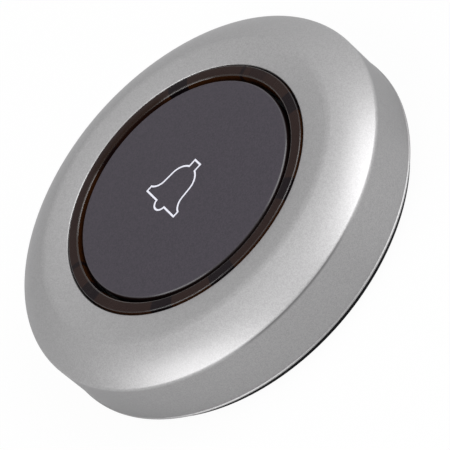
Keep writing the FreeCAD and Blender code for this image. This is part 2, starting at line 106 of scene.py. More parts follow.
BUTTON_RADIUS = 20.18 * MM
BUTTON_CROWN = top_of("button_disc") + 0.006 * MM  # just clear of the solid disc
RING_BORE, RING_OUTER = 20.6 * MM, 22.95 * MM
RING_CROWN = top_of("light_ring") + 0.12 * MM
RING_BASE = bottom_of("light_ring")
FRAME_BORE = 20.9 * MM
WINDOWS = (                    # angle, half width in degrees and darkness of what shows through the ring
    (28.9, 5.0, 1.0), (73.6, 5.8, 1.0), (103.0, 5.0, 0.35), (148.6, 5.0, 1.0), (-167.3, 5.3, 0.2),
    (-133.8, 5.3, 0.12), (-88.2, 5.6, 1.0), (-43.6, 5.2, 1.0), (-13.9, 5.8, 1.0),
    (-107.6, 1.3, 0.9), (112.5, 1.0, 0.9),
)

LAMPS = (("lamp_right", 72, 38, 5.1), ("lamp_left", -66, 40, 4.3))    # bearing, elevation in degrees, watts
LAMP_DISTANCE, LAMP_WIDTH, LAMP_HEIGHT = 0.9, 0.85, 0.65


# ---------------------------------------------------------------- settings a user would change
def length_property(name, description, default):
    return FloatProperty(name=name, description=description, default=default, min=0.0, unit="LENGTH",
                         precision=5)


def angle_property(name, description, degrees):
    return FloatProperty(name=name, description=description, default=math.radians(degrees),
                         subtype="ANGLE", unit="ROTATION")


def level_property(name, description, default, most=1.0):
    return FloatProperty(name=name, description=description, default=default, min=0.0, max=most)


def colour_property(name, description, default):
    return FloatVectorProperty(name=name, description=description, default=default, size=3, min=0.0,
                               max=1.0, subtype="COLOR")


class CALLBUTTON_PG_finishes(bpy.types.PropertyGroup):
    silver: colour_property("Silver", "Paint of the housing", (0.396, 0.392, 0.396))
    silver_edge: colour_property("Silver Edge", "Paint of the housing where it is seen at a slant",
                                 (0.70, 0.70, 0.71))
    silver_roughness: level_property("Silver Roughness", "How matt the silver paint is", 0.42)
    silver_metal: level_property("Silver Metal", "Share of metal flakes in the paint", 0.80)
    button: colour_property("Button", "Plastic of the push button", (0.0306, 0.0266, 0.0360))
    # partly the button's black body, partly painted shade for the gap and the rounded edge
    skirt_and_edge_shade: colour_property("Skirt", "Side of the push button, in the gap", (0.0060, 0.0030, 0.0030))
    ink: colour_property("Ink", "Printed bell", (0.62, 0.62, 0.69))
    smoke: colour_property("Smoke", "Smoked ring over the white frame", (0.0176, 0.0092, 0.0078))
    smoke_dark: colour_property("Smoke Dark", "Smoked ring over a window", (0.0062, 0.0036, 0.0048))
    smoke_tint: colour_property("Smoke Tint", "Light that comes through the smoked ring",
                                (0.69, 0.61, 0.585))
    amber: colour_property("Amber", "Walls of the smoked ring", (0.022, 0.007, 0.002))
    black: colour_property("Black", "Moulded black plastic", (0.006, 0.006, 0.007))
    white: colour_property("White", "Moulded white plastic of the inner frame", (0.62, 0.60, 0.57))
    solder_resist: colour_property("Solder Resist", "Coating of the circuit board", (0.012, 0.085, 0.035))
    rubber: colour_property("Rubber", "Feet and seals", (0.022, 0.022, 0.023))


class CALLBUTTON_PG_stage(bpy.types.PropertyGroup):
    view_angle: angle_property("View Angle", "Width of the camera's view", 10.0)
    elevation: angle_property("Elevation", "Camera above the table", 39.14)
    bearing: angle_property("Bearing", "Camera round the object, from +X", 1.7)
    roll: angle_property("Roll", "Turn of the picture", -48.995)
    distance: length_property("Distance", "Camera to the centre of the base", 0.4150)
    shift_x: FloatProperty(name="Shift X", description="Sideways shift of the picture", default=-0.01678)
    shift_y: FloatProperty(name="Shift Y", description="Upward shift of the picture", default=0.01303)
    room_low: level_property("Room Low", "Light from the horizon behind the object", 0.60, 2.0)
    room_high: level_property("Room High", "Light from above and in front", 1.15, 3.0)
    room_dim: level_property("Room Dim", "How much darker the room is behind the viewer", 0.60)
    room_gloss: level_property("Room Gloss", "How evenly white the room is in reflections", 0.15)
    floor_glow: level_property("Floor Glow", "How evenly white the floor looks", 0.96)
    floor_gloss: level_property("Floor Gloss", "How evenly white the floor is in reflections", 0.25)
    floor: colour_property("Floor", "Pale floor", (0.62, 0.62, 0.62))
    floor_width: length_property("Floor Width", "Side of the floor", 6.0)


# ---------------------------------------------------------------- shader maths
class Value:
    """A node socket that can be added, multiplied and so on, each time through a new node."""

    def __init__(self, graph, socket):
        self.graph = graph
        self.socket = socket

    def _maths(self, operation, first, second):
        node = self.graph.node("ShaderNodeMath", {"operation": operation}, {0: first, 1: second})
        return Value(self.graph, node.outputs[0])

    def __add__(self, other):
        return self._maths("ADD", self, other)

    def __radd__(self, other):
        return self._maths("ADD", other, self)

    def __sub__(self, other):
        return self._maths("SUBTRACT", self, other)

    def __rsub__(self, other):
        return self._maths("SUBTRACT", other, self)

    def __mul__(self, other):
        return self._maths("MULTIPLY", self, other)

    def __rmul__(self, other):
        return self._maths("MULTIPLY", other, self)

    def above(self, level):
        return self._maths("GREATER_THAN", self, level)

    def power(self, exponent):
        return self._maths("POWER", self, exponent)

    def ramp(self, low, high, to_low=0.0, to_high=1.0):
        """Map low..high smoothly to to_low..to_high, and hold outside that."""
        node = self.graph.node("ShaderNodeMapRange", {"interpolation_type": "SMOOTHSTEP"},
                               {"Value": self, "From Min": low, "From Max": high,
                                "To Min": to_low, "To Max": to_high})
        return Value(self.graph, node.outputs[0])

    def fall(self, low, high):
        """1 up to low, falling smoothly to 0 at high."""
        return self.ramp(low, high, 1.0, 0.0)


class Graph:
    """A node tree, and short ways to add to it."""

    def __init__(self, tree):
        self.tree = tree
        tree.nodes.clear()

    def node(self, kind, settings, inputs):
        """Add a node: its settings first, then the values or links of its sockets."""
        node = self.tree.nodes.new(kind)
        for key, value in settings.items():
            setattr(node, key, value)
        for key, value in inputs.items():
            self.feed(node.inputs[key], value)
        return node

    def feed(self, socket, value):
        if isinstance(value, Value):
            self.tree.links.new(value.socket, socket)
        elif isinstance(value, bpy.types.NodeSocket):
            self.tree.links.new(value, socket)
        elif socket.type == "RGBA":
            socket.default_value = (*value[:3], 1.0)
        else:
            socket.default_value = value

    def place(self):
        """The point on the object, in its own coordinates."""
        return self.node("ShaderNodeTexCoord", {}, {}).outputs["Object"]

    def axes(self):
        """The point's X, Y and Z as three values."""
        node = self.node("ShaderNodeSeparateXYZ", {}, {0: self.place()})
        return [Value(self, output) for output in node.outputs]

    def radius(self):
        """The point's distance from the Z axis."""
        x, y, _ = self.axes()
        return (x * x + y * y).power(0.5)

    def height(self):
        return self.axes()[2]

    def noise(self, grain, detail=2.0, roughness=0.5):
        """Noise whose blobs are about one grain across, in metres."""
        node = self.node("ShaderNodeTexNoise", {"noise_dimensions": "3D"},
                         {"Vector": self.place(), "Scale": 1.0 / grain, "Detail": detail,
                          "Roughness": roughness})
        return Value(self, node.outputs["Fac"])

    def cells(self, size):
        """A random value for each cell of the given size."""
        node = self.node("ShaderNodeTexVoronoi", {"feature": "F1"},
                         {"Vector": self.place(), "Scale": 1.0 / size})
        split = self.node("ShaderNodeSeparateColor", {}, {0: node.outputs["Color"]})
        return Value(self, split.outputs[0])

    def mix(self, share, first, second):
        """A colour between two colours."""
        # sockets 6 and 7 take the colours; those before them take numbers and vectors
        return self.node("ShaderNodeMix", {"data_type": "RGBA"}, {0: share, 6: first, 7: second}).outputs[2]

    def mix_shader(self, share, first, second):
        """The output of a shader between two nodes' shaders."""
        return self.node("ShaderNodeMixShader", {},
                         {0: share, 1: first.outputs[0], 2: second.outputs[0]}).outputs[0]

    def outwards(self):
        """The direction away from the Z axis."""
        flat = self.node("ShaderNodeVectorMath", {"operation": "MULTIPLY"}, {0: self.place(), 1: (1, 1, 0)})
        return self.node("ShaderNodeVectorMath", {"operation": "NORMALIZE"}, {0: flat.outputs[0]}).outputs[0]

    def facing(self, direction, aim, start, end):
        """0 to 1 as a direction turns towards the aim; start and end are cosines."""
        along = self.node("ShaderNodeVectorMath", {"operation": "DOT_PRODUCT"},
                          {0: direction, 1: Vector(aim).normalized()})
        return Value(self, along.outputs["Value"]).ramp(start, end)

    def sectors(self, places):
        """The darkness at each (angle, half width, darkness) place round the Z axis, and 0 elsewhere."""
        outwards = self.outwards()
        total = 0.0
        for angle, half_width, darkness in places:
            edge = math.cos(math.radians(half_width))
            softness = 0.006 * math.radians(half_width)
            aim = direction_to(math.radians(angle), 0.0)
            total += self.facing(outwards, aim, edge - softness, edge + softness) * darkness
        return total

    def background_share(self, seen, mirrored):
        """A share for camera rays and rays through glass, another for gloss; 0 for light on the object."""
        path = self.node("ShaderNodeLightPath", {}, {}).outputs
        camera, glossy, clear = (Value(self, path[name]) for name in
                                 ("Is Camera Ray", "Is Glossy Ray", "Is Transmission Ray"))
        return (camera + clear) * seen + glossy * mirrored


class Finish(Graph):
    """One material: a principled surface and what feeds it."""

    def __init__(self, name):
        self.material = bpy.data.materials.new(name)
        self.material.use_nodes = True
        super().__init__(self.material.node_tree)
        self.surface = self.node("ShaderNodeBsdfPrincipled", {}, {})
        self.output = self.node("ShaderNodeOutputMaterial", {}, {"Surface": self.surface.outputs[0]})

    def bump(self, height, distance):
        node = self.node("ShaderNodeBump", {}, {"Height": height, "Distance": distance, "Strength": 1.0})
        self.set(Normal=node.outputs[0])

    def set(self, **sockets):
        for name, value in sockets.items():
            self.feed(self.surface.inputs[name.replace("_", " ")], value)

    def blend_with(self, share, shader):
        """Let another shader's node show in the given share of the surface."""
        self.feed(self.output.inputs["Surface"], self.mix_shader(share, self.surface, shader))


def shade(colour, factor):
    return tuple(min(1.0, channel * factor) for channel in colour)


def direction_to(turn, rise):
    """The direction at an angle round from +X and an angle above the table."""
    return Vector((math.cos(rise) * math.cos(turn), math.cos(rise) * math.sin(turn), math.sin(rise)))


# ---------------------------------------------------------------- finishes
def silver_paint(settings):
    """Metallic paint: flakes of differing tone, with painted shade that darkens the side wall and a painted
    dark line just below the crease in front.
    """
    finish = Finish("silver_paint")
    height = finish.height()
    crease = CREASE[1]
    flakes = finish.cells(0.14 * MM)
    drift = finish.noise(9 * MM, 2.0)
    tone = flakes * 0.85 + drift * 0.15
    upper = finish.mix(tone, shade(settings.silver, 0.87), shade(settings.silver, 1.13))
    # painted shade: the side wall below the crease gets a darker copy of the same silver
    wall = finish.mix(tone, shade(settings.silver, 0.72), shade(settings.silver, 0.94))
    paint_with_wall_shade = finish.mix(height.fall(crease - 0.55 * MM, crease - 0.05 * MM), upper, wall)
    # painted shade: a dark line just below the crease, strongest in front, in place of the dark reflection
    # in the crease's rounding
    in_front = finish.facing(finish.outwards(), (1, 0.02, 0), 0.90, 0.99)
    just_below = height.ramp(crease - 0.55 * MM, crease - 0.15 * MM) * height.fall(
        crease - 0.04 * MM, crease + 0.04 * MM)
    crease_shade = just_below * in_front * 0.75
    finish.set(Base_Color=finish.mix(crease_shade, paint_with_wall_shade, shade(settings.silver, 0.35)),
               Metallic=settings.silver_metal, Specular_Tint=settings.silver_edge,
               Roughness=flakes * 0.08 + (settings.silver_roughness - 0.04))
    finish.bump(finish.noise(0.12 * MM, 1.0), 0.002 * MM)
    return finish.material


def button_plastic(settings):
    """Dark grey plastic with a spark-eroded face and a polished edge, dull in front; the grey fades to
    near-black over the rounded edge as painted shade, down to a dark side that is partly a black body and
    partly painted shade in the gap.
    """
    finish = Finish("button_face")
    height = finish.height()
    # painted shade: the grey fades to the dark side colour over the rounded edge, in place of the edge's
    # dark reflection
    face = height.ramp(BUTTON_CROWN - 0.26 * MM, BUTTON_CROWN - 0.01 * MM)
    edge = height.fall(BUTTON_CROWN - 0.06 * MM, BUTTON_CROWN - 0.01 * MM)
    texture = finish.noise(0.07 * MM, 2.0)
    warm_grain = finish.noise(0.30 * MM, 3.0, 0.7).ramp(0.32, 0.68)
    cool_grain = finish.noise(0.36 * MM, 3.0, 0.7).ramp(0.32, 0.68)
    warm = tuple(channel * share for channel, share in zip(settings.button, (1.05, 0.99, 0.97)))
    grey = finish.mix(warm_grain, shade(settings.button, 0.72), shade(warm, 1.24))
    grey = finish.mix(cool_grain * 0.5, grey, shade(settings.button, 0.98))
    dull = finish.facing(finish.outwards(), FRONT, 0.92, 0.965) * 0.9
    polish = edge * (1.0 - dull)
    finish.set(Base_Color=finish.mix(face, settings.skirt_and_edge_shade, grey), Specular_IOR_Level=0.32,
               Roughness=texture * 0.08 + 0.46 - polish * 0.20,
               Coat_Weight=polish * face * 0.9, Coat_Roughness=0.10)
    finish.bump(texture, 0.003 * MM)
    return finish.material


def printed_ink(settings):
    """Pale ink that lies a little unevenly."""
    finish = Finish("printed_ink")
    grain = finish.noise(0.05 * MM, 2.0)
    finish.set(Base_Color=finish.mix(grain, shade(settings.ink, 0.92), settings.ink),
               Roughness=grain * 0.1 + 0.4)
    finish.bump(grain, 0.003 * MM)
    return finish.material


def smoked_plastic(settings):
    """Smoked clear plastic: brown over the white frame, darker over the windows, amber at its walls, with
    painted shade at the inner lip and over the top and walls on the back side.
    """
    finish = Finish("smoked_plastic")
    radius, height = finish.radius(), finish.height()
    # painted shade: the top darkens to dark amber near the bore, and further out on the back side
    lip = radius.fall(RING_BORE + 0.38 * MM, RING_BORE + 0.70 * MM)
    wall = height.fall(RING_CROWN - 0.20 * MM, RING_CROWN - 0.10 * MM)
    dark = finish.sectors(WINDOWS)
    streak = finish.noise(1.5 * MM, 2.0)
    brown = finish.mix(streak, shade(settings.smoke, 0.92), shade(settings.smoke, 1.08))
    back = finish.facing(finish.outwards(), BACK, 0.90, 0.945)
    lip_and_back_shade = lip * 0.7 + back * radius.ramp(RING_BORE + 0.7 * MM, RING_BORE + 1.9 * MM, 0.85, 0.0)
    top = finish.mix(lip_and_back_shade, finish.mix(dark, brown, settings.smoke_dark), shade(settings.amber, 0.5))
    # painted shade: the walls are darker on the back side
    sides = finish.mix(dark + back * 0.65, settings.amber, shade(settings.smoke_dark, 0.6))
    edge_shine = height.ramp(RING_CROWN - 0.20 * MM, RING_CROWN - 0.14 * MM) * height.fall(
        RING_CROWN - 0.02 * MM, RING_CROWN - 0.005 * MM) * (1.0 - back * 0.85)
    finish.set(Base_Color=finish.mix(wall, top, sides), Roughness=streak * 0.04 + 0.12,
               Specular_IOR_Level=0.12, Coat_Weight=edge_shine, Coat_Roughness=0.12)
    clear = finish.node("ShaderNodeBsdfTransparent", {}, {"Color": settings.smoke_tint})
    finish.blend_with(wall * -0.10 + 0.15, clear)
    return finish.material


def frame_plastic(settings):
    """White plastic that spreads the light, with its bore darkened to near-black as painted shade for the
    narrow gap round the button.
    """
    finish = Finish("frame_plastic")
    radius = finish.radius()
    # painted shade: the bore goes near-black, for the shade in the narrow gap round the button
    bore = radius.fall(FRAME_BORE, FRAME_BORE + 0.05 * MM)
    grain = finish.noise(0.2 * MM, 3.0)
    white = finish.mix(grain, shade(settings.white, 0.94), settings.white)
    finish.set(Base_Color=finish.mix(bore, white, shade(settings.black, 0.5)), Roughness=grain * 0.1 + 0.5)
    finish.bump(grain, 0.005 * MM)
    return finish.material


def moulded(name, colour, grain=0.12 * MM, roughness=0.5, gloss=0.5):
    """Injection-moulded plastic with an etched skin."""
    finish = Finish(name)
    texture = finish.noise(grain, 3.0)
    drift = finish.noise(8 * MM, 1.0)
    tone = texture * 0.5 + drift * 0.5
    finish.set(Base_Color=finish.mix(tone, shade(colour, 0.85), shade(colour, 1.15)),
               Roughness=texture * 0.12 + (roughness - 0.06), Specular_IOR_Level=gloss)
    finish.bump(texture, 0.006 * MM)
    return finish.material


def base_plastic(settings):
    """The base's black plastic, made once and shared."""
    return bpy.data.materials.get("base_plastic") or moulded("base_plastic", settings.black,
                                                             roughness=0.62, gloss=0.08)


def metal(name, colour, roughness):
    """Plated or drawn metal with faint handling marks."""
    finish = Finish(name)
    marks = finish.noise(0.3 * MM, 3.0)
    drift = finish.noise(3 * MM, 2.0)
    finish.set(Base_Color=finish.mix(drift, shade(colour, 0.88), colour), Metallic=1.0,
               Roughness=marks * 0.16 + (roughness - 0.08))
    finish.bump(marks, 0.003 * MM)
    return finish.material


def solder_resist(settings):
    """Green lacquer over a weave of glass and a few copper tracks that show through it."""
    finish = Finish("solder_resist")
    radius = finish.radius()
    pitch = 1.6 * MM
    ripple = finish.node("ShaderNodeMath", {"operation": "SINE"}, {0: radius * (2 * math.pi / pitch)})
    islands = finish.noise(5 * MM, 1.0).above(0.52)
    tracks = Value(finish, ripple.outputs[0]).above(0.55) * islands
    weave = finish.noise(0.4 * MM, 1.0)
    plain = finish.mix(weave, shade(settings.solder_resist, 0.85), settings.solder_resist)
    finish.set(Base_Color=finish.mix(tracks, plain, shade(settings.solder_resist, 1.9)),
               Roughness=weave * 0.1 + 0.28)
    finish.bump(tracks, 0.02 * MM)
    return finish.material


def rubber(settings):
    """Soft rubber with a pale bloom."""
    finish = Finish("soft_rubber")
    bloom = finish.noise(0.5 * MM, 3.0)
    finish.set(Base_Color=finish.mix(bloom, settings.rubber, shade(settings.rubber, 1.5)),
               Roughness=bloom * 0.15 + 0.68)
    finish.bump(bloom, 0.006 * MM)
    return finish.material


def clear_resin():
    """Yellowish resin of the emitters, a little cloudy."""
    finish = Finish("emitter_resin")
    cloud = finish.noise(0.6 * MM, 2.0)
    finish.set(Base_Color=finish.mix(cloud, (0.80, 0.72, 0.30), (0.86, 0.82, 0.55)),
               Roughness=cloud * 0.1 + 0.2)
    return finish.material


# ---------------------------------------------------------------- modelling by hand
def deselect():
    if bpy.context.object and bpy.context.object.mode != "OBJECT":
        bpy.ops.object.mode_set(mode="OBJECT")
    bpy.ops.object.select_all(action="DESELECT")


def pick(piece):
    deselect()
    piece.select_set(True)
    bpy.context.view_layer.objects.active = piece


def named(name):
    """The active object, after it and its mesh have been given the name."""
    piece = bpy.context.object
    piece.name = name
    piece.data.name = name
    return piece


def settle():
    """Put the active object's place, turn and scale into its mesh."""
    bpy.ops.object.transform_apply(location=True, rotation=True, scale=True)


def arc_outline(start, end, bulge, steps):
    """Points on an arc from start to end, bowed outwards by bulge, without its first point."""
    chord = Vector(end) - Vector(start)
    half = chord.length / 2
    radius = (half * half + bulge * bulge) / (2 * bulge)
    outward = Vector((-chord.y, chord.x)).normalized()
    if outward.x < 0:
        outward = -outward
    centre = (Vector(start) + Vector(end)) / 2 + outward * (bulge - radius)
    first = Vector(start) - centre
    sweep = first.angle_signed(Vector(end) - centre)
    points = []
    for step in range(1, steps + 1):
        turn = -sweep * step / steps
        arm = Vector((first.x * math.cos(turn) - first.y * math.sin(turn),
                      first.x * math.sin(turn) + first.y * math.cos(turn)))
        points.append(tuple(centre + arm))
    return points


def turned(name, outline, steps=ROUND_STEPS, hollow=True):
    """A round piece, drawn as a circle that is extruded and resized from point to point.

    outline holds (radius, height) pairs.  A hollow piece ends where it began; any other is
    closed with a cap at each end.
    """
    deselect()
    radius, height = outline[0]
    bpy.ops.mesh.primitive_circle_add(vertices=steps, radius=radius, fill_type="NOTHING",
                                      location=(0, 0, height))
    piece = named(name)
    settle()
    bpy.ops.object.mode_set(mode="EDIT")
    bpy.ops.mesh.select_mode(type="VERT")
    bpy.ops.mesh.select_all(action="SELECT")
    if not hollow:
        cap_loop()
    for next_radius, next_height in outline[1:] + (outline[:1] if hollow else []):
        bpy.ops.mesh.extrude_region_move(TRANSFORM_OT_translate={"value": (0, 0, next_height - height)})
        ratio = next_radius / radius
        bpy.ops.transform.resize(value=(ratio, ratio, 1), center_override=(0, 0, next_height))
        radius, height = next_radius, next_height
    if not hollow:
        cap_loop()
    bpy.ops.mesh.select_all(action="SELECT")
    bpy.ops.mesh.remove_doubles(threshold=0.0005 * MM)
    bpy.ops.mesh.normals_make_consistent(inside=False)
    bpy.ops.object.mode_set(mode="OBJECT")
    return piece


def cap_loop():
    """Close the selected loop with a fan to its centre, and leave the loop selected."""
    bpy.ops.object.mode_set(mode="OBJECT")
    mesh = bpy.context.object.data
    rim = {vertex.index for vertex in mesh.vertices if vertex.select}
    bpy.ops.object.mode_set(mode="EDIT")
    bpy.ops.mesh.extrude_region_move(TRANSFORM_OT_translate={"value": (0, 0, 0)})
    bpy.ops.mesh.merge(type="CENTER")
    bpy.ops.mesh.select_all(action="DESELECT")
    bpy.ops.object.mode_set(mode="OBJECT")
    for index in rim:
        mesh.vertices[index].select = True
    for edge in mesh.edges:
        edge.select = set(edge.vertices) <= rim
    bpy.ops.object.mode_set(mode="EDIT")


def round_edges(piece, places, width, segments):
    """Bevel the circular edges of a turned piece at the given (radius, height) places."""
    pick(piece)
    bpy.ops.object.mode_set(mode="EDIT")
    bpy.ops.mesh.select_mode(type="EDGE")
    bpy.ops.mesh.select_all(action="DESELECT")
    bpy.ops.object.mode_set(mode="OBJECT")
    mesh = piece.data
    near = 0.002 * MM

    def at_place(vertex):
        radius = math.hypot(vertex.co.x, vertex.co.y)
        return any(abs(radius - r) < near and abs(vertex.co.z - z) < near for r, z in places)

    for edge in mesh.edges:
        first, second = (mesh.vertices[index] for index in edge.vertices)
        level = abs(first.co.z - second.co.z) < near
        edge.select = level and at_place(first) and at_place(second)
    bpy.ops.object.mode_set(mode="EDIT")
    bpy.ops.mesh.bevel(offset=width, offset_type="OFFSET", segments=segments, profile=0.5, affect="EDGES")
    bpy.ops.object.mode_set(mode="OBJECT")


def smooth(piece):
    pick(piece)
    bpy.ops.object.shade_smooth_by_angle(angle=SMOOTH_ANGLE)


def rod(radius, low, high, x=0.0, y=0.0):
    """A cutter or a post: an upright cylinder with its place in its mesh."""
    deselect()
    bpy.ops.mesh.primitive_cylinder_add(vertices=SMALL_ROUND_STEPS, radius=radius, depth=high - low,
                                        location=(x, y, (low + high) / 2))
    settle()
    return bpy.context.object


def round_about(angles, radius):
    return [(radius * math.cos(math.radians(angle)), radius * math.sin(math.radians(angle)))
            for angle in angles]


def combine(piece, other, operation):
    """Cut the other shape from the piece, or add it, and remove the other."""
    pick(piece)
    modifier = piece.modifiers.new("combine", "BOOLEAN")
    modifier.operation = operation
    modifier.solver = "EXACT"
    modifier.object = other
    bpy.ops.object.modifier_apply(modifier=modifier.name)
    bpy.data.objects.remove(other, do_unlink=True)


def spread(name, piece, places):
    """Copies of a piece at each of the (x, y) places, each with its own mesh, joined as one piece."""
    copies = []
    for x, y in places:
        pick(piece)
        bpy.ops.object.duplicate(linked=False)
        bpy.ops.transform.translate(value=(x, y, 0))
        settle()
        copies.append(bpy.context.object)
    bpy.data.objects.remove(piece, do_unlink=True)
    pick(copies[0])
    for copy in copies[1:]:
        copy.select_set(True)
    bpy.ops.object.join()
    return named(name)


def finished(piece, material, body, slot, *nodes):
    """Give a piece its material, and let it ride on its body in place of its solids."""
    piece.data.materials.clear()
    piece.data.materials.append(material)
    if nodes:
        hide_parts(*nodes)
    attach(piece, body)


# ---------------------------------------------------------------- pieces
class CALLBUTTON_OT_housing(bpy.types.Operator):
    """Model the silver shell with its dished band, ridge, shoulder and crease"""
    bl_idname = "callbutton.housing"
    bl_label = "Housing"

    def execute(self, context):
        rim_radius, rim_z = RIM
        ledge = 0.14 * MM              # a low step above the paint's lower edge
        step = (BODY_RADIUS, HOUSING_EDGE + ledge)
        seat, collar, roof = rim_z - 2.0 * MM, rim_z - 3.1 * MM, rim_z - ROOF
        groove, collar_radius = 24.7 * MM, 26.1 * MM
        bore = BODY_RADIUS - SIDE_WALL
        shell = turned("silver_housing", [
            (BODY_RADIUS, HOUSING_EDGE), step, (BODY_RADIUS - ledge, HOUSING_EDGE + 2 * ledge), CREASE,
            *arc_outline(CREASE, RIDGE, 0.45 * MM, 14), RIM, (rim_radius, seat), (groove, seat),
            (groove, collar), (collar_radius, collar), (collar_radius, roof), (RIDGE[0], roof),
            (CREASE[0] - SIDE_WALL, CREASE[1] - ROOF), (bore, FLOOR_TOP + 2.0 * MM), (bore, HOUSING_EDGE)])
        for place, width, segments in ((RIDGE, 0.66 * MM, 8), (CREASE, 0.36 * MM, 6),
                                       (RIM, 0.2 * MM, 4), (step, 0.05 * MM, 3)):
            round_edges(shell, [place], width, segments)
        boss_top, hole_top = rim_z - 1.2 * MM, 8.3 * MM
        for x, y in round_about(SCREW_ANGLES, SCREW_CIRCLE):
            combine(shell, rod(BOSS_RADIUS, FLOOR_TOP, boss_top, x, y), "UNION")
            combine(shell, rod(SCREW_CORE, 0.0, hole_top, x, y), "DIFFERENCE")
        smooth(shell)
        material = silver_paint(context.scene.callbutton_finishes)
        finished(shell, material, "case", "silver_paint", "top_housing")
        return {"FINISHED"}


class CALLBUTTON_OT_base_band(bpy.types.Operator):
    """Model the soft-edged black band that the housing stands on"""
    bl_idname = "callbutton.base_band"
    bl_label = "Base Band"

    def execute(self, context):
        inner, outer = 33.2 * MM, 34.0 * MM
        low, high = BASE_UNDERSIDE - 0.06 * MM, HOUSING_EDGE
        band = turned("base_band", [(outer, high), (outer, low), (inner, low), (inner, high)])
        round_edges(band, [(outer, low), (inner, low)], 0.12 * MM, 3)
        smooth(band)
        finished(band, base_plastic(context.scene.callbutton_finishes), "case", "black_plastic")
        return {"FINISHED"}


class CALLBUTTON_OT_ring(bpy.types.Operator):
    """Model the smoked ring: lip round the button, softened edges and the flange that holds it"""
    bl_idname = "callbutton.ring"
    bl_label = "Ring of Light"

    def execute(self, context):
        seat, flange = RIM[1] - 2.0 * MM, 24.6 * MM
        outer_edge, inner_edge = (RING_OUTER - 0.15 * MM, RING_CROWN), (RING_BORE + 0.36 * MM, RING_CROWN)
        ring = turned("smoked_ring", [
            (RING_OUTER, seat), (RING_OUTER, RING_CROWN - 0.75 * MM), outer_edge, inner_edge,
            (RING_BORE, RING_CROWN - 1.5 * MM), (FRAME_BORE, RING_CROWN - 1.9 * MM),
            (FRAME_BORE, RING_BASE), (flange, RING_BASE), (flange, seat)])
        round_edges(ring, [outer_edge], 0.17 * MM, 5)
        round_edges(ring, [inner_edge], 0.30 * MM, 7)
        smooth(ring)
        material = smoked_plastic(context.scene.callbutton_finishes)
        finished(ring, material, "case", "smoked_plastic", "light_ring")
        return {"FINISHED"}


class CALLBUTTON_OT_button_face(bpy.types.Operator):
    """Model the button's grey cap, with a crisp edge that catches the light"""
    bl_idname = "callbutton.button_face"
    bl_label = "Button Face"

    def execute(self, context):
        edge, foot = (BUTTON_RADIUS, BUTTON_CROWN), BUTTON_CROWN - 1.2 * MM
        cap = turned("button_face", [(BUTTON_RADIUS - 0.5 * MM, foot), (BUTTON_RADIUS, foot), edge],
                     hollow=False)
        round_edges(cap, [edge], 0.45 * MM, 8)
        smooth(cap)
        material = button_plastic(context.scene.callbutton_finishes)
        finished(cap, material, "push_button", "button_plastic")
        return {"FINISHED"}


class CALLBUTTON_OT_spring(bpy.types.Operator):
    """Wind the return spring, which is pressed together between the board and the button"""
    bl_idname = "callbutton.spring"
    bl_label = "Return Spring"

    def execute(self, context):
        wire, turns = 0.25 * MM, 3
        low, high = bottom_of("return_spring"), top_of("return_spring")
        radius = reach_of("return_spring") - wire
        deselect()
        bpy.ops.mesh.primitive_circle_add(vertices=16, radius=wire, location=(radius, 0, low + wire),
                                          rotation=(math.pi / 2, 0, 0))
        spring = named("wound_spring")
        settle()
        winding = spring.modifiers.new("winding", "SCREW")
        winding.angle = 2 * math.pi
        winding.screw_offset = (high - low - 2 * wire) / turns
        winding.iterations = turns
        winding.steps = winding.render_steps = 56
        bpy.ops.object.modifier_apply(modifier=winding.name)
        bpy.ops.object.mode_set(mode="EDIT")
        bpy.ops.mesh.select_all(action="SELECT")
        bpy.ops.mesh.fill_holes(sides=0)
        bpy.ops.mesh.normals_make_consistent(inside=False)
        bpy.ops.object.mode_set(mode="OBJECT")
        smooth(spring)
        spring.data.materials.append(metal("spring_wire", (0.50, 0.50, 0.51), 0.25))
        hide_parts("return_spring")
        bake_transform(spring)
        return {"FINISHED"}


class CALLBUTTON_OT_feet(bpy.types.Operator):
    """Model the four rubber feet, soft at the rim and hollowed in the middle"""
    bl_idname = "callbutton.feet"
    bl_label = "Feet"

    def execute(self, context):
        hollow, rim = (2.3 * MM, 0.14 * MM), (4.0 * MM, 0.0)
        foot = turned("foot", [hollow, (2.6 * MM, 0.0), rim, (rim[0], top_of("rubber_feet"))],
                      SMALL_ROUND_STEPS, hollow=False)
        round_edges(foot, [rim], 0.22 * MM, 4)
        round_edges(foot, [hollow], 0.06 * MM, 2)
        feet = spread("soft_feet", foot, round_about(FOOT_ANGLES, FOOT_CIRCLE))
        smooth(feet)
        finished(feet, rubber(context.scene.callbutton_finishes), "case", "foot_rubber", "rubber_feet")
        return {"FINISHED"}


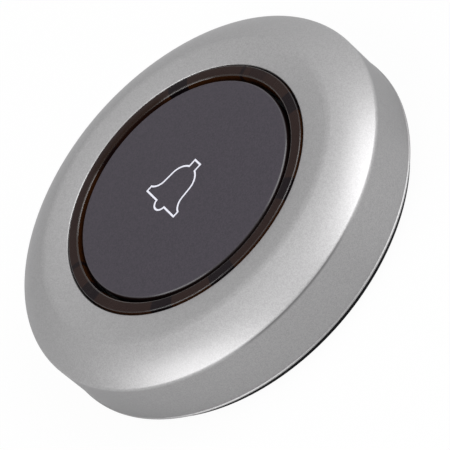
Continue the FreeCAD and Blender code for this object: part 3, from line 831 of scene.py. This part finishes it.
class CALLBUTTON_OT_battery_cap(bpy.types.Operator):
    """Model the battery cap with soft edges, a nail notch and grip grooves, and the mark on its cell"""
    bl_idname = "callbutton.battery_cap"
    bl_label = "Battery Cap and Cell Mark"

    def execute(self, context):
        low, high = bottom_of("battery_cap"), top_of("battery_cap")
        plate = low + 1.2 * MM
        rim, spigot = reach_of("battery_cap"), 10.13 * MM
        cap = turned("battery_cap_soft", [
            (11.3 * MM, low + 0.12 * MM), (11.5 * MM, low), (rim, low), (rim, plate),
            (spigot, plate + 0.02 * MM), (spigot, high)], hollow=False)
        round_edges(cap, [(rim, low)], 0.15 * MM, 3)
        round_edges(cap, [(rim, plate), (spigot, high)], 0.10 * MM, 2)
        combine(cap, rod(2.6 * MM, low - 1 * MM, low + 0.6 * MM, 0, -rim), "DIFFERENCE")
        for step in range(3):
            groove = self.groove_cutter(low, -7.6 * MM + step * 0.9 * MM, (2.0 + 0.5 * step) * MM)
            combine(cap, groove, "DIFFERENCE")
        smooth(cap)
        finished(cap, base_plastic(context.scene.callbutton_finishes), "cap", "black_plastic", "battery_cap")
        self.mark_cell()
        return {"FINISHED"}

    def groove_cutter(self, low, y, half_length):
        """A ball drawn out to both sides, which cuts a shallow groove with a round bed and ends."""
        deselect()
        bpy.ops.mesh.primitive_uv_sphere_add(segments=24, ring_count=12, radius=0.28 * MM,
                                             location=(0, y, low))
        bpy.ops.object.mode_set(mode="EDIT")
        bpy.ops.mesh.select_all(action="DESELECT")
        bpy.ops.object.mode_set(mode="OBJECT")
        cutter = bpy.context.object
        settle()
        for side in (1, -1):
            for vertex in cutter.data.vertices:
                vertex.select = vertex.co.x * side > 0.0001 * MM
            bpy.ops.object.mode_set(mode="EDIT")
            bpy.ops.transform.translate(value=(half_length * side, 0, 0))
            bpy.ops.object.mode_set(mode="OBJECT")
        return cutter

    def mark_cell(self):
        """The plus sign pressed into the can, readable from below."""
        deselect()
        bpy.ops.object.text_add(location=(0, 0, bottom_of("coin_cell") + 0.005 * MM),
                                rotation=(math.pi, 0, 0))
        mark = bpy.context.object
        mark.data.body = "+"
        mark.data.size = 9 * MM
        mark.data.align_x = "CENTER"
        mark.data.align_y = "CENTER"
        mark.data.extrude = 0.02 * MM
        mark.name = "cell_plus_mark"
        bpy.ops.object.convert(target="MESH")
        settle()
        finished(bpy.context.object, metal("pressed_mark", (0.20, 0.20, 0.20), 0.5), "cell", "cell_steel")


# ---------------------------------------------------------------- finishes of the solids that stay
class CALLBUTTON_OT_solids(bpy.types.Operator):
    """Give each solid that keeps its shape its own finish"""
    bl_idname = "callbutton.solids"
    bl_label = "Solids"

    def execute(self, context):
        settings = context.scene.callbutton_finishes
        finishes = (
            (base_plastic(settings), "button_disc", "switch_body", "base_cover"),
            (moulded("chip_epoxy", (0.018, 0.018, 0.02), 0.2 * MM, 0.6),
             "emitter_resistors", "microcontroller", "radio_chip"),
            (metal("nickel_plate", (0.62, 0.60, 0.54), 0.28),
             "switch_cover_plate", "switch_terminals", "crystal", "negative_contact", "positive_contact"),
            (metal("cell_steel", (0.58, 0.58, 0.57), 0.30), "coin_cell"),
            (metal("screw_steel", (0.20, 0.20, 0.21), 0.35), "housing_screws"),
            (metal("copper_wire", (0.62, 0.27, 0.11), 0.25), "aerial_coil"),
            (rubber(settings), "cap_seal", "base_seal"),
            (frame_plastic(settings), "inner_frame"),
            (printed_ink(settings), "bell_symbol"),
            (solder_resist(settings), "circuit_board"),
            (moulded("plunger_nylon", (0.03, 0.03, 0.032)), "switch_plunger"),
            (clear_resin(), "light_emitters"),
            (moulded("fired_ceramic", (0.26, 0.16, 0.08), 0.2 * MM, 0.4), "capacitors"),
        )
        for material, *nodes in finishes:
            for node in nodes:
                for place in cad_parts[node].material_slots:
                    place.material = material
        return {"FINISHED"}


# ---------------------------------------------------------------- stage
class CALLBUTTON_OT_stage(bpy.types.Operator):
    """Lay the floor, hang the lamps and set the camera"""
    bl_idname = "callbutton.stage"
    bl_label = "Stage"

    def execute(self, context):
        settings = context.scene.callbutton_stage
        context.scene.view_settings.view_transform = "Standard"
        self.lay_floor(settings)
        self.light_room(context, settings)
        for name, bearing, elevation, watts in LAMPS:
            self.hang_lamp(name, direction_to(math.radians(bearing), math.radians(elevation)), watts)
        self.set_camera(context, settings)
        return {"FINISHED"}

    def lay_floor(self, settings):
        """A pale floor that the camera sees white, with a painted pool of light that makes it whitest in
        reflections towards the right lamp.
        """
        deselect()
        bpy.ops.mesh.primitive_plane_add(size=settings.floor_width, location=(0, 0, -0.01 * MM))
        floor = bpy.context.object
        floor.name = "floor"
        bpy.ops.object.mode_set(mode="EDIT")
        bpy.ops.mesh.subdivide(number_cuts=3)
        bpy.ops.object.mode_set(mode="OBJECT")
        finish = Finish("pale_floor")
        grain = finish.noise(4 * MM, 2.0)
        finish.set(Base_Color=finish.mix(grain, shade(settings.floor, 0.99), settings.floor),
                   Roughness=0.9, Specular_IOR_Level=0.1)
        glow = finish.node("ShaderNodeEmission", {}, {"Color": WHITE, "Strength": 1.0})
        # painted light: the floor glows whiter in reflections in a sector towards the right lamp
        painted_light_pool = finish.facing(finish.outwards(), (0.743, 0.669, 0), 0.91, 1.0)
        share = finish.background_share(settings.floor_glow, painted_light_pool * 0.85 + settings.floor_gloss)
        finish.blend_with(share, glow)
        floor.data.materials.append(finish.material)

    def light_room(self, context, settings):
        """A room that is lighter above, in front and to the right; the camera sees it white."""
        world = context.scene.world or bpy.data.worlds.new("room")
        context.scene.world = world
        world.use_nodes = True
        graph = Graph(world.node_tree)
        direction = graph.node("ShaderNodeTexCoord", {}, {}).outputs["Generated"]
        overhead = graph.facing(direction, (0.46, 0.06, 0.885), 0.0, 1.0)
        behind_viewer = graph.facing(direction, (0.93, 0.03, 0.25), 0.70, 0.98)
        to_the_right = graph.facing(direction, (0.25, 0.97, 0), -1.0, 1.0).ramp(0.0, 1.0, 0.84, 1.16)
        level = overhead * (settings.room_high - settings.room_low) + settings.room_low
        level = level * (1.0 - behind_viewer * settings.room_dim) * to_the_right
        share = graph.background_share(1.0, settings.room_gloss)
        even = graph.node("ShaderNodeBackground", {}, {"Color": WHITE, "Strength": level})
        white = graph.node("ShaderNodeBackground", {}, {"Color": WHITE, "Strength": 1.0})
        graph.node("ShaderNodeOutputWorld", {}, {"Surface": graph.mix_shader(share, even, white)})

    def hang_lamp(self, name, towards, watts):
        deselect()
        bpy.ops.object.light_add(type="AREA", location=towards * LAMP_DISTANCE)
        lamp = bpy.context.object
        lamp.name = name
        lamp.data.shape = "RECTANGLE"
        lamp.data.size = LAMP_WIDTH
        lamp.data.size_y = LAMP_HEIGHT
        lamp.data.energy = watts
        lamp.rotation_euler = towards.to_track_quat("Z", "Y").to_euler()

    def set_camera(self, context, settings):
        turn = settings.bearing
        back = direction_to(turn, settings.elevation)
        level = Vector((-math.sin(turn), math.cos(turn), 0))
        upright = back.cross(level)
        right = level * math.cos(settings.roll) + upright * math.sin(settings.roll)
        up = upright * math.cos(settings.roll) - level * math.sin(settings.roll)
        target = Vector((0, 0, BASE_UNDERSIDE))
        deselect()
        bpy.ops.object.camera_add(location=target + back * settings.distance)
        camera = bpy.context.object
        camera.name = "camera"
        camera.data.sensor_fit = "HORIZONTAL"
        camera.data.angle = settings.view_angle
        camera.data.shift_x = settings.shift_x
        camera.data.shift_y = settings.shift_y
        camera.data.clip_start = 0.01
        camera.data.clip_end = 20.0
        matrix = camera.matrix_world.copy()
        for column, axis in enumerate((right, up, back)):
            for row in range(3):
                matrix[row][column] = axis[row]
        camera.matrix_world = matrix
        context.scene.camera = camera


# ---------------------------------------------------------------- panel and registration
class CALLBUTTON_PT_panel(bpy.types.Panel):
    """Lists the pieces and the stage"""
    bl_label = "Call Button"
    bl_idname = "CALLBUTTON_PT_panel"
    bl_space_type = "VIEW_3D"
    bl_region_type = "UI"
    bl_category = "Call Button"

    def draw(self, context):
        layout = self.layout
        for operator in OPERATORS:
            layout.operator(operator.bl_idname)
        for group in (context.scene.callbutton_finishes, context.scene.callbutton_stage):
            box = layout.box()
            for name in group.__annotations__:
                box.prop(group, name)


OPERATORS = (
    CALLBUTTON_OT_solids, CALLBUTTON_OT_housing, CALLBUTTON_OT_base_band, CALLBUTTON_OT_ring,
    CALLBUTTON_OT_button_face, CALLBUTTON_OT_spring, CALLBUTTON_OT_feet, CALLBUTTON_OT_battery_cap,
    CALLBUTTON_OT_stage,
)
CLASSES = (CALLBUTTON_PG_finishes, CALLBUTTON_PG_stage, *OPERATORS, CALLBUTTON_PT_panel)


def register():
    for item in CLASSES:
        bpy.utils.register_class(item)
    bpy.types.Scene.callbutton_finishes = PointerProperty(type=CALLBUTTON_PG_finishes)
    bpy.types.Scene.callbutton_stage = PointerProperty(type=CALLBUTTON_PG_stage)


def unregister():
    del bpy.types.Scene.callbutton_stage
    del bpy.types.Scene.callbutton_finishes
    for item in reversed(CLASSES):
        bpy.utils.unregister_class(item)


def main():
    register()
    for operator in OPERATORS:
        group, name = operator.bl_idname.split(".")
        getattr(getattr(bpy.ops, group), name)()


if __name__ == "__main__":
    main()
